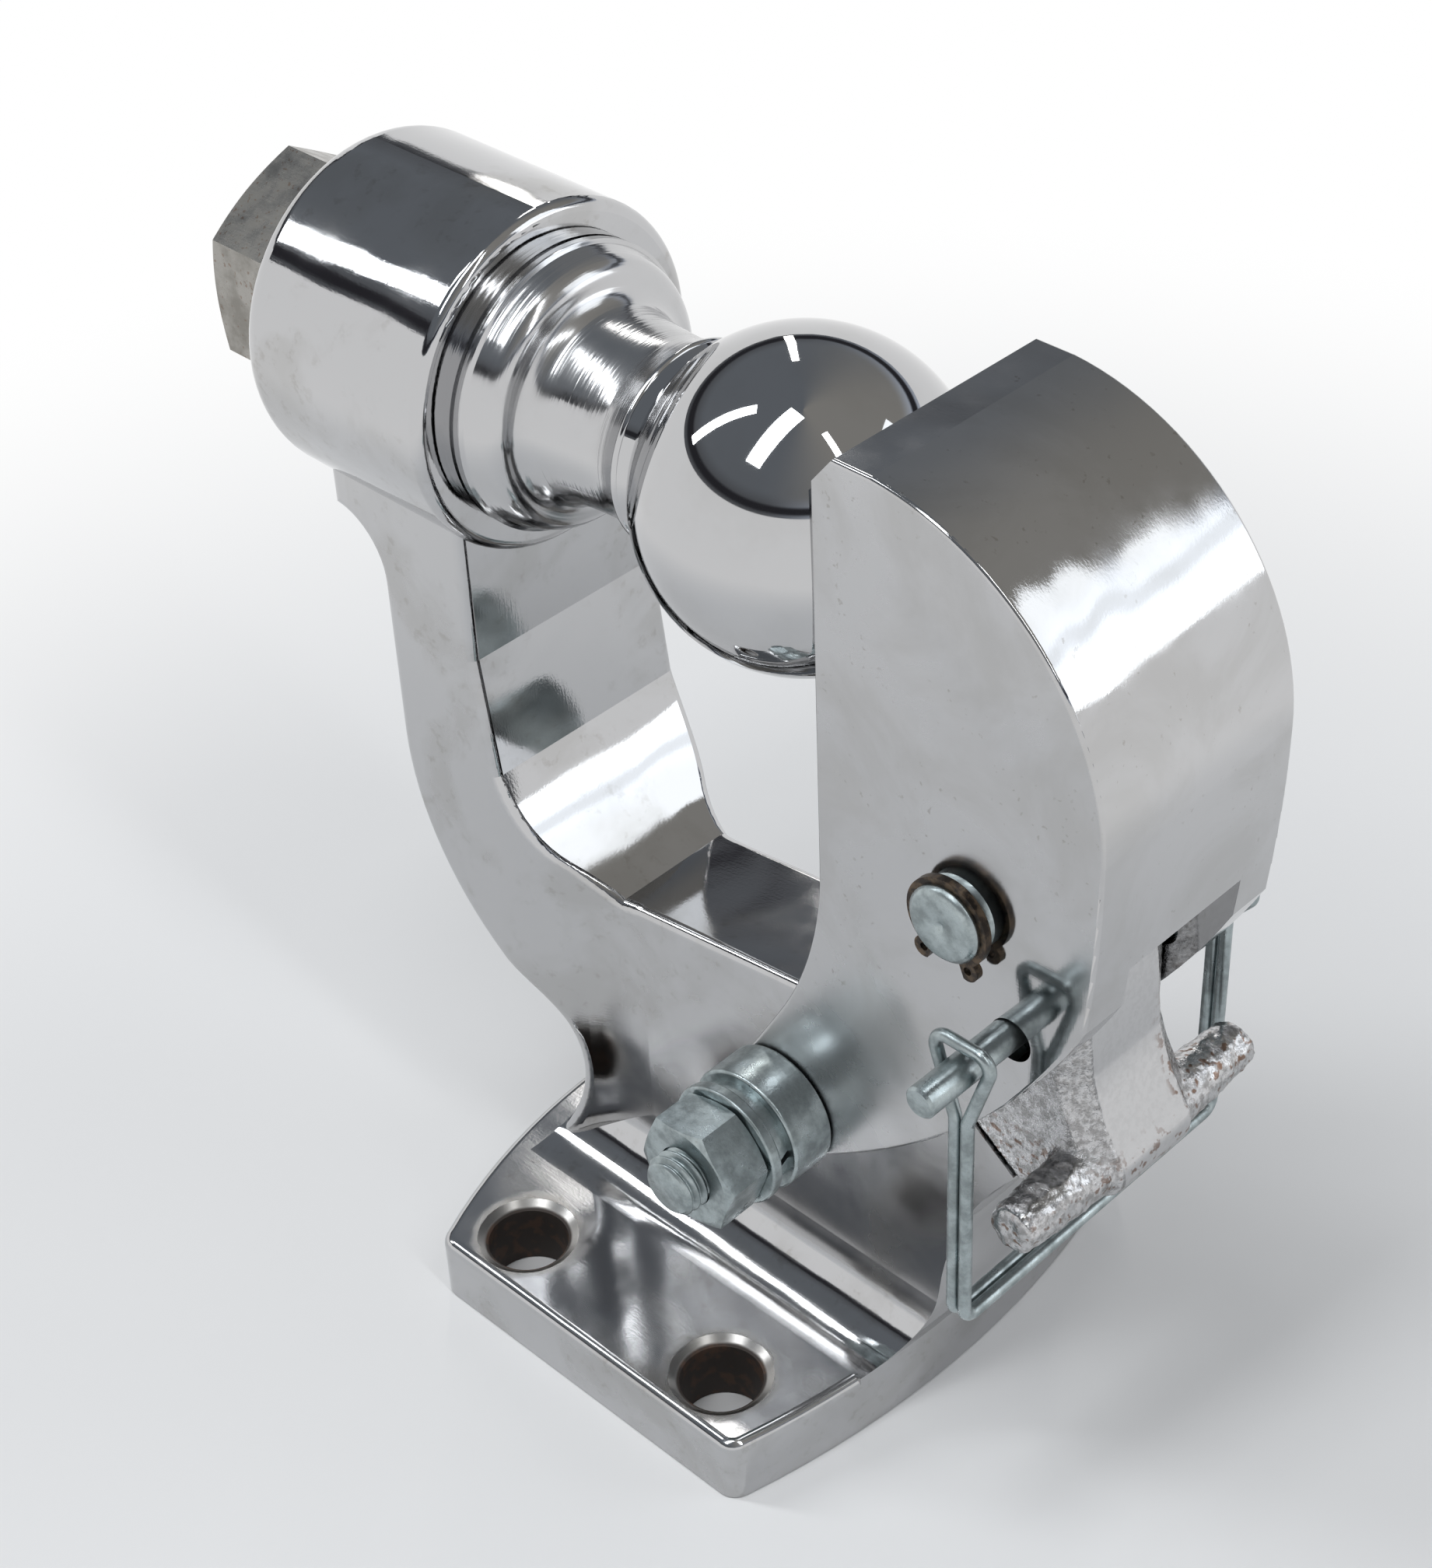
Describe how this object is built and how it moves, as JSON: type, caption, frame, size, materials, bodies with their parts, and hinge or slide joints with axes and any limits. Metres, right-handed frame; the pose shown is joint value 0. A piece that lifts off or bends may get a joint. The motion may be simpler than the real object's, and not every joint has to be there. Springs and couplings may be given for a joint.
{
  "type": "tow hook with ball and swinging jaw",
  "caption": "Forged tow hook with a side-facing hitch ball, a swinging crescent jaw, a locking pawl and a safety pin, on a bolted base plate.",
  "frame": {"origin": "centre of the four-bolt pattern on the mounting face", "axes": "+Z out of the mounting face, +X from the ball's boss towards the jaw"},
  "size_m": [0.184, 0.0966, 0.1799],
  "materials": {
    "mirror_chrome": "mirror polished plating",
    "satin_chrome": "satin polished plating",
    "cast_chrome": "plated rough casting",
    "dull_chrome": "dull plating",
    "zinc": "bluish zinc plating",
    "dark_phosphate": "dark phosphate",
    "spring_steel": "plain spring wire"
  },
  "bodies": {
    "hook": {"hook_body": "mirror_chrome", "hitch_ball": "mirror_chrome", "ball_lock_washer": "dull_chrome", "ball_nut": "dull_chrome", "jaw_pivot_bolt": "zinc", "jaw_pivot_nut": "zinc", "jaw_pivot_lock_washer": "zinc", "jaw_pivot_washer_near": "zinc", "jaw_pivot_washer_far": "zinc", "jaw_pivot_collar_near": "zinc", "jaw_pivot_collar_far": "zinc"},
    "jaw": {"jaw": "satin_chrome", "pawl_pivot_pin": "zinc", "pawl_pin_circlip_near": "dark_phosphate", "pawl_pin_circlip_far": "dark_phosphate", "pawl_spring": "spring_steel"},
    "pawl": {"pawl": "cast_chrome"},
    "safety_pin": {"safety_pin": "zinc", "safety_pin_bail": "zinc"}
  },
  "joints": [
    {"name": "jaw_swing", "type": "hinge", "parent": "hook", "child": "jaw", "pos_m": [0.021, 0, 0.0585], "axis": [0, 1, 0], "range_deg": [0, 40]},
    {"name": "pawl_swing", "type": "hinge", "parent": "jaw", "child": "pawl", "pos_m": [0.0558, 0, 0.1162], "axis": [0, -1, 0], "range_deg": [0, 40], "deforming": ["pawl_spring"]},
    {"name": "bail_swing", "type": "hinge", "parent": "jaw", "child": "safety_pin", "pos_m": [0.0642, 0, 0.0989], "axis": [0, -1, 0], "range_deg": [0, 100]}
  ],
  "couplings": [
    {"joint": "pawl_swing", "follows": "jaw_swing", "ratio": 1}
  ]
}
